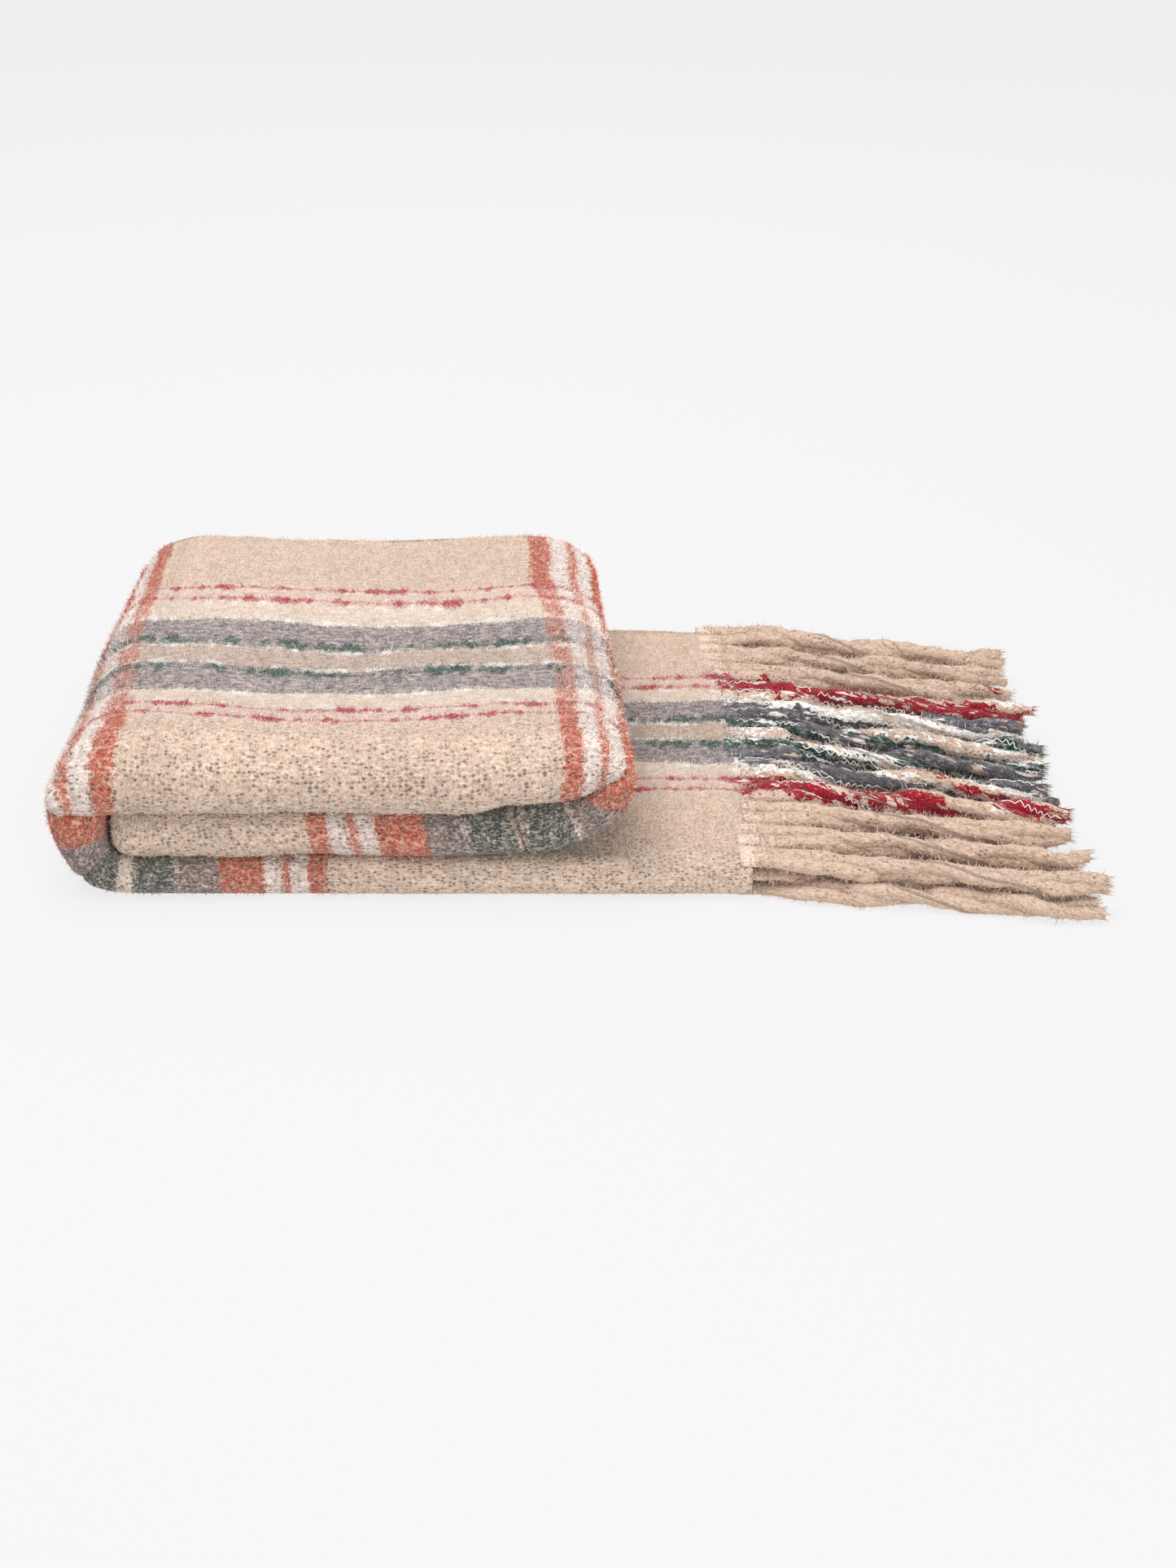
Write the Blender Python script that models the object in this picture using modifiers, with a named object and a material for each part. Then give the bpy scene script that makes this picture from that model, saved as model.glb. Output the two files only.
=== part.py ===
# Folded throw blanket: one woven panel, folded in thirds across its width and then over
# itself along its length, with twisted tassels along both of its short edges.
# Metres, +Z up. +X runs towards the free fringe, -Y is the side with the rolled front fold.
import bpy
import bmesh
from math import sin, cos, pi, radians
from mathutils import Vector

# ---- driving dimensions -------------------------------------------------------------
CLOTH_T = 0.0060          # lofted thickness of the brushed cloth
STACK_LEFT = 0.0          # left end of the folded stack, before centring
STACK_RIGHT = 0.414       # right end of the stack
FRINGE_X = 0.505          # woven edge of the bottom layer at mid depth
FRINGE_SKEW = 0.035       # the woven edge runs this much further in X per metre of Y
FRONT_Y = -0.210          # front of the folds
BACK_Y = 0.208            # back of the folds
ROLL_R = 0.0155           # centre radius where the top layer rolls over the front
ROLL_DROP = 0.0115        # straight drop below that roll
TUCK_X = 0.195            # where the tucked-in end stops
BOTTOM = dict(z=0.0145, p=0.0115)      # centre height and ply spacing of each layer
MIDDLE = dict(z=0.0468, p=0.0132)
TUCKED = dict(z=0.0762, p=0.0077)
TOP = dict(z=0.1055, p=0.0100)
SAG = 0.0035              # dish in the top layer
TASSELS_PER_PLY = 12      # free end, three plies
TUCKED_PER_PLY = (7, 7, 8)
LANE = 0.035              # spacing of tassels in one ply
TASSEL_LEN = 0.238
R_TOP, R_LOW = 0.0080, 0.0074          # body radius of upper and lower tassels
ROOT_HALF = 0.0140        # half width of a tassel where it leaves the cloth
EDGE_GAP = 0.0036         # hinge axis ahead of the woven edge
CENTRE = (0.3805, -0.0126)             # footprint centre, moved to the origin

COLOURS = {
    "cloth_sand": (0.78, 0.63, 0.50), "yarn_sand": (0.74, 0.57, 0.42),
    "yarn_red": (0.52, 0.05, 0.09), "yarn_grey": (0.30, 0.29, 0.31),
    "yarn_green": (0.05, 0.16, 0.13), "yarn_cream": (0.86, 0.80, 0.72),
}

# ---- scene --------------------------------------------------------------------------
for ob in list(bpy.data.objects):
    bpy.data.objects.remove(ob, do_unlink=True)
part = bpy.data.collections.new("folded_throw_blanket")
bpy.context.scene.collection.children.link(part)


def material(name):
    mat = bpy.data.materials.get(name)
    if mat is None:
        mat = bpy.data.materials.new(name)
        mat.use_nodes = True
        bsdf = mat.node_tree.nodes["Principled BSDF"]
        bsdf.inputs["Base Color"].default_value = (*COLOURS[name], 1.0)
        bsdf.inputs["Roughness"].default_value = 0.95
        bsdf.inputs["Metallic"].default_value = 0.0
    return mat


def smooth(a, b, x):
    t = min(1.0, max(0.0, (x - a) / (b - a)))
    return t * t * (3 - 2 * t)


def mix(a, b, t):
    return a + (b - a) * t


# ---- the cloth across its width: folded in thirds -------------------------------------
N_FLAT, N_ROLL, N_BACK, N_FRONT = 2, 5, 4, 5


def width_path(p, beta, y_front, y_back, short=0.0):
    """Points (y, n) along one cross-section, from one selvage to the other.

    The outer ply turns round the front into the inner one, and round the back into the
    ply between them. beta is how far the front rolls over."""
    y_roll = y_front + p + CLOTH_T / 2 + ROLL_R * sin(beta) + ROLL_DROP * cos(beta)
    roll = ROLL_R * beta
    run = roll + ROLL_DROP

    def at(s, off):
        # s runs forwards from the start of the roll, off is along the outward normal
        if s <= 0:
            return (y_roll - s, off)
        a = min(s, roll) / ROLL_R
        rest = max(0.0, s - roll)
        y = y_roll - ROLL_R * sin(a) - rest * cos(a)
        n = -ROLL_R * (1 - cos(a)) - rest * sin(a)
        return (y - off * sin(a), n + off * cos(a))

    back = y_back - p / 2 - CLOTH_T / 2
    flat = [(back - y_roll) * (1 - i / N_FLAT) for i in range(N_FLAT)]
    front = [run * i / N_ROLL for i in range(N_ROLL + 1)]
    pts = [at(s, 0.0) for s in reversed(front)] + [at(-s, 0.0) for s in reversed(flat)]
    for i in range(1, N_BACK):
        a = pi * i / N_BACK
        pts.append((back + p / 2 * sin(a), p / 2 * (1 - cos(a))))
    pts += [at(-s, p) for s in flat] + [at(s, p) for s in front]
    for i in range(1, N_FRONT):
        a = pi * i / N_FRONT
        s = run + p * sin(a)
        pts.append(at(s, p * cos(a)))
    pts += [at(s, -p) for s in reversed(front)]
    inner = [at(-s, -p) for s in reversed(flat)]
    inner[-1] = (inner[-1][0] - 0.008 - short, inner[-1][1])
    return pts + inner


# ---- the cloth along its length: bottom, left turn, top, right turn, middle, tuck ------
def layer_stations():
    rows = []

    def put(x, z, nx, nz, p, beta, yf, yb):
        rows.append(dict(x=x, z=z, nx=nx, nz=nz, p=p, beta=beta, yf=yf, yb=yb))

    def turn(cx, a, z0, z1, start, p0, p1, swell, yfs, ybs, steps):
        # half turn about (cx, middle height); start is the angle of the outward normal,
        # swell is how much looser the plies lie half way round
        cz, b = (z0 + z1) / 2, abs(z1 - z0) / 2
        for i in range(steps + 1):
            t = i / steps
            ang = radians(start) - pi * t
            px, pz = a * cos(ang), b * sin(ang)
            n = Vector((px / a ** 2, pz / b ** 2)).normalized()
            p = mix(p0, p1, smooth(0, 1, t)) + swell * sin(pi * t) ** 2
            put(cx + px, cz + pz, n.x, n.y, p, 0.0,
                mix(*yfs, smooth(0, 1, t)), mix(*ybs, smooth(0, 1, t)))

    flat_f, flat_m, top_b = (FRONT_Y + 0.003, BACK_Y), (FRONT_Y + 0.006, BACK_Y - 0.005), BACK_Y - 0.010
    left_a, right_a, tuck_a = 0.034, 0.028, 0.0165
    loose_l, loose_r = 0.0070, 0.0040
    left_cx = STACK_LEFT + (BOTTOM["p"] + TOP["p"] + CLOTH_T) / 2 + loose_l + left_a
    right_cx = STACK_RIGHT - (TOP["p"] + MIDDLE["p"] + CLOTH_T) / 2 - loose_r - right_a
    tuck_cx = STACK_LEFT + 0.046 + MIDDLE["p"] + CLOTH_T / 2 + tuck_a
    for x in (FRINGE_X, 0.44, 0.30, 0.16):
        put(x, BOTTOM["z"], 0, -1, BOTTOM["p"], 0, *flat_f)
    turn(left_cx, left_a, BOTTOM["z"], TOP["z"], 270, BOTTOM["p"], TOP["p"],
         loose_l, (flat_f[0], FRONT_Y), (flat_f[1], top_b), 8)
    for x in (0.070, 0.086, 0.102, 0.120, 0.170, 0.230, 0.280, 0.300, 0.318, 0.334, 0.350):
        k = sin(pi * (x - left_cx) / (right_cx - left_cx))
        beta = radians(90) * smooth(left_cx, 0.124, x) * (1 - smooth(0.286, right_cx, x))
        put(x, TOP["z"] - SAG * k, 0, 1, TOP["p"], beta, FRONT_Y, top_b)
    turn(right_cx, right_a, TOP["z"], MIDDLE["z"], 90, TOP["p"], MIDDLE["p"],
         loose_r, (FRONT_Y, flat_m[0]), (top_b, flat_m[1]), 8)
    for x in (0.30, 0.20, 0.12):
        put(x, MIDDLE["z"], 0, -1, MIDDLE["p"], 0, *flat_m)
    turn(tuck_cx, tuck_a, MIDDLE["z"], TUCKED["z"], 270, MIDDLE["p"], TUCKED["p"],
         0.0, (flat_m[0], -0.176), (flat_m[1], 0.196), 8)
    for x in (0.14, TUCK_X):
        put(x, TUCKED["z"], 0, 1, TUCKED["p"], 0, -0.176, 0.196)
    return rows


def woven_panel():
    rows = layer_stations()
    paths = [width_path(r["p"], r["beta"], r["yf"], r["yb"]) for r in rows]
    bm = bmesh.new()
    bmesh.ops.create_grid(bm, x_segments=len(paths[0]) - 1, y_segments=len(rows) - 1, size=1)
    bm.verts.ensure_lookup_table()
    width = len(paths[0])
    for i, (row, path) in enumerate(zip(rows, paths)):
        for j, (y, n) in enumerate(path):
            x = row["x"] + n * row["nx"]
            if i == 0:
                x += FRINGE_SKEW * y
            bm.verts[i * width + j].co = (x - CENTRE[0], y - CENTRE[1], row["z"] + n * row["nz"])
    mesh = bpy.data.meshes.new("woven_panel")
    bm.to_mesh(mesh)
    bm.free()
    ob = bpy.data.objects.new("woven_panel", mesh)
    mesh.materials.append(material("cloth_sand"))
    part.objects.link(ob)
    solid = ob.modifiers.new("loft", "SOLIDIFY")
    solid.thickness = CLOTH_T
    solid.offset = 0.0
    solid.use_even_offset = True
    return ob


# ---- tassels: lofted from a flat root to a round, slowly twisting body -----------------
def tassel(name, slot, root, rings, sides):
    """rings: (x, y, z, half width, half thickness, twist) measured from the root."""
    bm = bmesh.new()
    loops = []
    for x, y, z, w, h, tw in rings:
        loop = []
        for k in range(sides):
            a = 2 * pi * (k + 0.5) / sides
            cy, cz = cos(a), sin(a)
            cy, cz = cy * cos(tw) - cz * sin(tw), cy * sin(tw) + cz * cos(tw)
            loop.append(bm.verts.new((x, y + w * cy, z + h * cz)))
        loops.append(loop)
    for a, b in zip(loops, loops[1:]):
        for k in range(sides):
            m = (k + 1) % sides
            bm.faces.new((a[k], a[m], b[m], b[k]))
    bm.faces.new(list(reversed(loops[0])))
    bm.faces.new(loops[-1])
    bmesh.ops.recalc_face_normals(bm, faces=bm.faces)
    mesh = bpy.data.meshes.new(name)
    bm.to_mesh(mesh)
    bm.free()
    ob = bpy.data.objects.new(name, mesh)
    ob.location = (root[0] - CENTRE[0], root[1] - CENTRE[1], root[2])
    mesh.materials.append(material(slot))
    part.objects.link(ob)
    return ob


def free_rings(lane, z0, z1, radius, length, steps, root_half, rise, turn_down):
    """Rings of one free tassel. It fans and drifts towards the front as it goes out."""
    nose = CLOTH_T / 2 - 0.0002
    rings = [(-nose * cos(radians(30)), 0, 0, root_half - 0.0016, nose * sin(radians(30)), 0),
             (-nose * cos(radians(62)), 0, 0, root_half - 0.0004, nose * sin(radians(62)), 0)]
    for i in range(steps + 1):
        r = length * (i / steps) ** 1.12
        t = r / 0.24
        y = -0.03 * t * lane - 0.040 * t ** 1.2 + 0.0022 * sin(14 * t) * smooth(0, 0.4, t)
        z = mix(0, z1 - z0, smooth(*turn_down, r)) + rise * sin(pi * smooth(0, 0.11, r))
        grow = smooth(0.004, 0.066, r)
        shrink = 1 - smooth(0.002, 0.052, r)
        end = 1 - 0.34 * smooth(length - 0.03, length, r)
        rings.append((r, y, z, mix(radius, root_half, shrink) * end,
                      mix(nose, radius, grow) * end, 0.30 * i * grow))
    return rings


def slot_for(lane):
    y = lane - 0.018
    if abs(y) > 0.100:
        return "yarn_sand"
    if abs(y) > 0.070:
        return "yarn_red"
    if abs(y) > 0.052:
        return "yarn_cream"
    return "yarn_green" if 0.014 < abs(y) < 0.034 else "yarn_grey"


woven_panel()
first = -LANE * (TASSELS_PER_PLY - 1) / 2
ply_z = (BOTTOM["z"] + BOTTOM["p"], BOTTOM["z"], BOTTOM["z"] - BOTTOM["p"] + 0.0001)
for k in range(TASSELS_PER_PLY):
    lane = first + LANE * k
    # upper ply: lies in the grooves between the two lower plies' tassels
    length = TASSEL_LEN + 0.008 * sin(2.4 * k + 0.6)
    root = (FRINGE_X + FRINGE_SKEW * lane + EDGE_GAP, lane, ply_z[0])
    rings = free_rings(lane, ply_z[0], 0.0236, R_TOP, length, 11, ROOT_HALF, 0.0016, (0, 0.05))
    tassel("fringe_upper_%02d" % (k + 1), slot_for(lane), root, rings, 10)
    for ply, label, side in ((1, "middle", 0.25), (2, "lower", -0.25)):
        at = lane + side * LANE
        length = TASSEL_LEN - 0.004 + 0.009 * sin(1.7 * k + ply)
        root = (FRINGE_X + FRINGE_SKEW * at + EDGE_GAP, at, ply_z[ply])
        rings = free_rings(at, ply_z[ply], 0.0080, R_LOW, length, 8, 0.0125, 0.0, (0.012, 0.062))
        tassel("fringe_%s_%02d" % (label, k + 1), slot_for(at), root, rings, 8)

# the other end's tassels lie flat between the middle and the top layers
for ply, label in ((0, "upper"), (1, "middle"), (2, "lower")):
    count = TUCKED_PER_PLY[ply]
    z = TUCKED["z"] + TUCKED["p"] * (1 - ply)
    for k in range(count):
        lane = 0.012 + 0.335 * ((k + 0.5) / count - 0.5)
        rings = []
        for i in range(8):
            r = 0.172 * i / 7
            t = r / 0.172
            y = 0.010 * sin(2 * pi * t * 1.5) * smooth(0, 0.35, t)
            w = mix(0.0150, 0.0085, smooth(0, 0.4, t)) * (1 - 0.3 * smooth(0.85, 1, t))
            rings.append((r, y, 0, w, CLOTH_T / 2 - 0.0002, 0))
        tassel("tucked_%s_%02d" % (label, k + 1), slot_for(lane), (TUCK_X + 0.0006, lane, z),
               rings, 6)
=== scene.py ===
# Folded throw blanket: the looks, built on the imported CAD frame. Metres, +Z up.
import random
from math import sin, cos, pi, radians, sqrt
import bmesh
import bpy
import numpy as np
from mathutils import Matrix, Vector, noise


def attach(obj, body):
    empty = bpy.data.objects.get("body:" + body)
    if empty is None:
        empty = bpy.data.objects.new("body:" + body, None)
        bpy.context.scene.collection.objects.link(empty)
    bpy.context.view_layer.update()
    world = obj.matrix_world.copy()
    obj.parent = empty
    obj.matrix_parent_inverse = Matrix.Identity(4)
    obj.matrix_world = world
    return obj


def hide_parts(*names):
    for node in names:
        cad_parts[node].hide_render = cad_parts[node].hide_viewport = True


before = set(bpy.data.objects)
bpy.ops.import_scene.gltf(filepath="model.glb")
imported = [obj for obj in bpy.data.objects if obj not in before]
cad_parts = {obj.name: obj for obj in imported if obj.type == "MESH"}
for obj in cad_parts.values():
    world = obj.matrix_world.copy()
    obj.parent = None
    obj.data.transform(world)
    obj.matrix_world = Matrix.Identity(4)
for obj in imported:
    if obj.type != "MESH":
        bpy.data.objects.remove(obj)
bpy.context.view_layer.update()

scene = bpy.context.scene
rng = np.random.default_rng(7)
random.seed(7)

# The folded stack is drawn with its left end at x = 0 and then moved by this, as in the CAD.
CENTRE = np.array((0.3805, -0.0126, 0.0))
CLOTH_T = 0.0058                     # thickness of the brushed cloth
FLOOR_Z = 0.0002                     # nothing is drawn below this
FRINGE_X, FRINGE_SKEW = 0.505, 0.035     # the free edge: its x, and how far it is askew
LANE, LANE_0 = 0.035, -0.1925        # spacing of the tassels in one ply, and y of the first
STRANDS_PER_M = 57.14                # two strands to a tassel
V_GROUPS = (0.26, 0.65, 1.04)        # middle of each lengthways stripe group, across the cloth
U_GROUPS = (0.4515, 1.0505)          # middle of each crossways stripe group, along the cloth
V_BACK = 0.41                        # where the back fold is, across the cloth
SLIPS = (-0.004, 0.030, -0.045)      # how far the inner, folded-in and outer ply's groups slip


def smooth(a, b, x):
    t = np.clip((np.asarray(x, float) - a) / (b - a), 0.0, 1.0)
    return t * t * (3 - 2 * t)


def srgb(r, g, b):
    def lin(c):
        c /= 255.0
        return c / 12.92 if c <= 0.04045 else ((c + 0.055) / 1.055) ** 2.4
    return (lin(r), lin(g), lin(b), 1.0)


# -------- yarn colours
SAND = srgb(238, 214, 194)
SAND_DARK = srgb(204, 172, 148)
SAND_F = srgb(216, 188, 166)
CREAM = srgb(236, 221, 207)
WHITE = srgb(250, 246, 240)
TAN = srgb(196, 174, 162)
GREY = srgb(156, 146, 150)
GREY_DARK = srgb(88, 88, 94)
GREEN = srgb(38, 84, 72)
GREEN_DEEP = srgb(20, 66, 54)
RED = srgb(178, 34, 60)
CRIMSON = srgb(160, 20, 42)
PINK = srgb(240, 214, 204)
ORANGE = srgb(200, 80, 42)
RUST = srgb(150, 56, 32)
GREY_X = srgb(120, 107, 108)
GREEN_X = srgb(28, 66, 70)
WHITE_X = srgb(246, 232, 226)
HEATHER_PALE = srgb(214, 196, 182)
HEATHER_DARK = srgb(100, 92, 102)

# Stripes by distance from the middle of their group: (up to, colour, strength). WARP is the
# fringe's start, and WARP_GROUND the woven cloth without its slub yarns.
WARP = ((0.0125, TAN, .65), (0.0168, WHITE, 1.), (0.0275, GREEN, 1.), (0.0535, GREY, 1.),
        (0.0570, WHITE, .9), (0.0745, CREAM, .42), (0.0775, WHITE, .35), (0.0850, RED, 1.),
        (0.0940, PINK, .55), (0.1020, RED, 1.), (0.1040, PINK, .35), (0.30, SAND, 0.))
WARP_GROUND = ((0.0145, TAN, .72), (0.0545, GREY, 1.), (0.0760, CREAM, .55), (0.1040, PINK, .42),
               (0.30, SAND, 0.))
# Slub yarns: middle, thinnest and thickest half width, seed, colour, strength.
SLUBS = ((0.0225, 0.0006, 0.0084, 57.0, GREEN, .95), (0.0146, 0.0002, 0.0032, 51.0, WHITE, .90),
         (0.0564, 0.0000, 0.0034, 53.0, WHITE, .88), (0.0755, -0.0030, 0.0028, 55.0, WHITE, .75),
         (0.0815, 0.0007, 0.0050, 59.0, RED, .96), (0.0982, 0.0007, 0.0050, 61.0, RED, .96))
# Waves that make the slubs and the slow sideways wander: size, per metre along u, along v, seed.
SWELL = ((0.17, 47.0, 20.0, 1.3), (0.15, 151.0, 31.0, 1.0), (0.16, 283.0, -90.0, 2.1),
         (0.13, 641.0, 250.0, 3.7))
DRIFT_V = ((0.0016, 21.0, 9.0, 1.0), (0.0011, 57.0, -14.0, 2.0))
DRIFT_U = ((0.0014, 7.0, 24.0, 1.5), (0.0010, -5.0, 63.0, 4.0))
SLUB_LOW, SLUB_HIGH = 0.36, 0.92     # values of the swell at the thinnest and thickest
# Crossing stripes and the fringe's yarns, as WARP.
WEFT = ((0.0058, CREAM, .8), (0.0385, GREEN_X, .95), (0.0400, WHITE_X, .7), (0.0695, GREY_X, .95),
        (0.1010, ORANGE, .95), (0.1130, WHITE_X, .9), (0.1195, ORANGE, .8), (0.1315, WHITE_X, .9),
        (0.1450, ORANGE, .92), (0.30, SAND, 0.))
FRINGE = ((0.0035, SAND_F, 1.), (0.0080, WHITE, 1.), (0.0250, GREEN_DEEP, 1.),
          (0.0550, GREY_DARK, 1.), (0.0660, WHITE, 1.), (0.0740, SAND_F, 1.),
          (0.1015, CRIMSON, 1.), (0.30, SAND_F, 1.))
SPAN = 0.2                           # the stripe ramps reach this far from a group's middle


def waves(table, base, u, v, seed):
    return base + sum(a * sin(ku * u + kv * v + ks * seed) for a, ku, kv, ks in table)


# -------- shader helpers
class Tree:
    """A few short calls for building a node tree."""

    def __init__(self, mat):
        mat.use_nodes = True
        self.nt = mat.node_tree
        self.bsdf = self.nt.nodes["Principled BSDF"]

    def put(self, socket, value):
        if isinstance(value, bpy.types.NodeSocket):
            self.nt.links.new(value, socket)
        else:
            socket.default_value = value

    def math(self, op, a, b=None, c=None, clamp=False):
        n = self.nt.nodes.new("ShaderNodeMath")
        n.operation, n.use_clamp = op, clamp
        for s, v in zip(n.inputs, (a, b, c)):
            if v is not None:
                self.put(s, v)
        return n.outputs[0]

    def mul(self, a, b):
        return self.math("MULTIPLY", a, b)

    def add(self, a, b, clamp=False):
        return self.math("ADD", a, b, clamp=clamp)

    def sub(self, a, b):
        return self.math("SUBTRACT", a, b)

    def ramp(self, x, a, b, to0=0.0, to1=1.0):
        n = self.nt.nodes.new("ShaderNodeMapRange")
        n.interpolation_type = "SMOOTHSTEP"
        for s, v in zip(n.inputs, (x, a, b, to0, to1)):
            self.put(s, v)
        return n.outputs[0]

    def mix(self, f, a, b, kind="MIX"):
        n = self.nt.nodes.new("ShaderNodeMix")
        n.data_type, n.blend_type = "RGBA", kind
        self.put(n.inputs[0], f)
        self.put(n.inputs[6], a)
        self.put(n.inputs[7], b)
        return n.outputs[2]

    def tint(self, colour, by):
        """A colour multiplied by another one, or by a number."""
        if isinstance(by, bpy.types.NodeSocket):
            by = self.vec(by, by, by)
        return self.mix(1.0, colour, by, "MULTIPLY")

    def vec(self, x, y, z=0.0):
        n = self.nt.nodes.new("ShaderNodeCombineXYZ")
        for s, v in zip(n.inputs, (x, y, z)):
            self.put(s, v)
        return n.outputs[0]

    def uv(self, name):
        n = self.nt.nodes.new("ShaderNodeUVMap")
        n.uv_map = name
        s = self.nt.nodes.new("ShaderNodeSeparateXYZ")
        self.nt.links.new(n.outputs[0], s.inputs[0])
        return s.outputs[0], s.outputs[1]

    def attr(self, name):
        n = self.nt.nodes.new("ShaderNodeAttribute")
        n.attribute_name = name
        return n.outputs["Fac"]

    def noise(self, vector, scale, detail=3.0, rough=0.6):
        n = self.nt.nodes.new("ShaderNodeTexNoise")
        self.put(n.inputs["Vector"], vector)
        for k, v in (("Scale", scale), ("Detail", detail), ("Roughness", rough)):
            n.inputs[k].default_value = v
        return n.outputs["Fac"]

    def cells(self, vector, scale, random_=1.0):
        n = self.nt.nodes.new("ShaderNodeTexVoronoi")
        self.put(n.inputs["Vector"], vector)
        n.inputs["Scale"].default_value = scale
        n.inputs["Randomness"].default_value = random_
        return n.outputs["Distance"]

    def bump(self, height, distance, strength):
        n = self.nt.nodes.new("ShaderNodeBump")
        n.inputs["Strength"].default_value = strength
        n.inputs["Distance"].default_value = distance
        self.put(n.inputs["Height"], height)
        self.nt.links.new(n.outputs[0], self.bsdf.inputs["Normal"])

    def stripes(self, d, table):
        """Colour and strength of a stripe group at distance d from its middle."""
        x = self.math("DIVIDE", d, SPAN)
        out = []
        for values in ([c for _, c, _ in table], [(s, s, s, 1.0) for _, _, s in table]):
            node = self.nt.nodes.new("ShaderNodeValToRGB")
            cr = node.color_ramp
            cr.interpolation = "CONSTANT"
            cr.elements[0].color = values[0]
            for (start, _, _), value in zip(table, values[1:]):
                cr.elements.new(min(start / SPAN, 1.0)).color = value
            cr.elements[len(cr.elements) - 1].color = values[-1]
            self.nt.links.new(x, node.inputs[0])
            out.append(node.outputs[0])
        return out

    def waves(self, table, base, u, v, seed):
        out = base
        for a, ku, kv, ks in table:
            arg = self.math("MULTIPLY_ADD", u, ku, self.math("MULTIPLY_ADD", v, kv, ks * seed))
            out = self.math("MULTIPLY_ADD", self.math("SINE", arg), a, out)
        return out

    def nearest(self, x, centres):
        out = None
        for c in centres:
            d = self.math("ABSOLUTE", self.sub(x, c))
            out = d if out is None else self.math("MINIMUM", out, d)
        return out


def set_inputs(bsdf, **values):
    for key, value in values.items():
        bsdf.inputs[key.replace("_", " ")].default_value = value


def cloth_finish(bsdf, sheen=0.35):
    set_inputs(bsdf, Roughness=0.95, Specular_IOR_Level=0.12, Sheen_Weight=sheen,
               Sheen_Roughness=0.45, Sheen_Tint=(1.0, 0.95, 0.9, 1.0))


def woven_material():
    mat = bpy.data.materials.new("brushed_plaid")
    t = Tree(mat)
    u, v = t.uv("flat")
    open_weave = t.attr("open")
    uv = t.vec(u, v)

    def centred(x, k):
        return t.mul(t.sub(x, 0.5), k)

    def stretched(ku, kv, w, scale, detail=3.0, rough=0.7):
        return t.noise(t.vec(t.mul(u, ku), t.mul(v, kv), w), scale, detail, rough)

    # ragged, feathered stripe edges, as loose yarns and fibres wander
    feather = centred(t.noise(uv, 560.0, 3.0, 0.85), 0.0150)
    slow_v = t.waves(DRIFT_V, 0.0, u, v, 1.0)
    slow_u = t.waves(DRIFT_U, 0.0, u, v, 1.0)
    wander_v = t.add(centred(stretched(0.45, 1.0, 0.0, 320.0), 0.0090), slow_v)
    wander_u = t.add(centred(stretched(1.0, 0.45, 3.1, 320.0), 0.0130), slow_u)
    dv = t.nearest(t.add(v, t.add(wander_v, feather)), V_GROUPS)
    du = t.nearest(t.add(u, t.add(wander_u, feather)), U_GROUPS)
    line_v = t.nearest(t.add(v, t.add(slow_v, t.mul(feather, 1.05))), V_GROUPS)
    warp, warp_on = t.stripes(dv, WARP_GROUND)
    weft, weft_on = t.stripes(du, WEFT)

    def slubs(centre, thin, thick, seed):
        """A yarn that swells and thins along its length: 1 on the yarn, 0 off it."""
        half = t.ramp(t.waves(SWELL, 0.5, u, v, seed), SLUB_LOW, SLUB_HIGH, thin, thick)
        off = t.math("ABSOLUTE", t.sub(line_v, centre))
        return t.ramp(t.sub(off, half), -0.0012, 0.0011, 1.0, 0.0)

    # heather: the grey and tan yarns are spun from several greys and sand
    on_grey = t.ramp(dv, 0.0540, 0.0550, 1.0, 0.0)
    heather = stretched(0.42, 1.0, 31.0, 290.0)
    pale_part = t.mul(t.ramp(heather, 0.50, 0.59, 0.0, 0.80), on_grey)
    dark_part = t.mul(t.ramp(heather, 0.39, 0.49, 0.80, 0.0),
                      t.mul(on_grey, t.ramp(dv, 0.013, 0.016, 0.60, 1.0)))
    warp = t.mix(pale_part, warp, HEATHER_PALE)
    warp = t.mix(dark_part, warp, HEATHER_DARK)
    # the crossing stripes break up where ground yarn floats over them
    clump = stretched(0.8, 1.15, 41.0, 235.0)
    floats = t.mul(t.ramp(clump, 0.52, 0.60), t.add(0.26, t.mul(open_weave, 0.24)))
    weft_dark = t.tint(weft, (0.50, 0.38, 0.36, 1.0))
    weft = t.mix(t.ramp(clump, 0.40, 0.50, 0.62, 0.0), weft, weft_dark)
    weft = t.mix(floats, weft, SAND)
    # each yarn shows more or less of its crossing yarn
    grain = stretched(0.55, 1.0, 5.0, 480.0)
    share = t.mul(warp_on, t.sub(1.0, t.mul(weft_on, 0.56)))
    share = t.add(share, t.mul(centred(grain, 1.5), warp_on), clamp=True)
    ground = t.mix(t.ramp(t.noise(uv, 520.0, 3.0, 0.8), 0.37, 0.61), SAND_DARK, SAND)
    pale = t.ramp(stretched(0.5, 1.0, 9.0, 330.0), 0.50, 0.64)
    ground = t.mix(t.mul(pale, 0.80), ground, CREAM)
    cover = t.mul(weft_on, t.ramp(grain, 0.32, 0.50, 0.50, 1.0))
    col = t.mix(share, t.mix(cover, ground, weft), warp)
    # the thin lines: red, green and white slub yarns over everything else
    hold = t.sub(1.0, t.mul(weft_on, 0.25))
    for centre, thin, thick, seed, colour, most in SLUBS:
        on = t.mul(slubs(centre, thin, thick, seed), t.ramp(grain, 0.34, 0.52, 0.60, 1.0))
        col = t.mix(t.mul(on, t.mul(hold, most)), col, colour)
    # marl: pale ground yarn comes through the stripes, most where the weave is open
    striped = t.math("MAXIMUM", weft_on, warp_on)
    speck = stretched(1.0, 1.3, 11.0, 470.0, 2.0, 0.75)
    low = t.sub(0.555, t.mul(open_weave, 0.035))
    marl = t.ramp(speck, low, t.add(low, 0.08), 0.0, 0.42)
    col = t.mix(t.mul(marl, striped), col, SAND)
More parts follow.
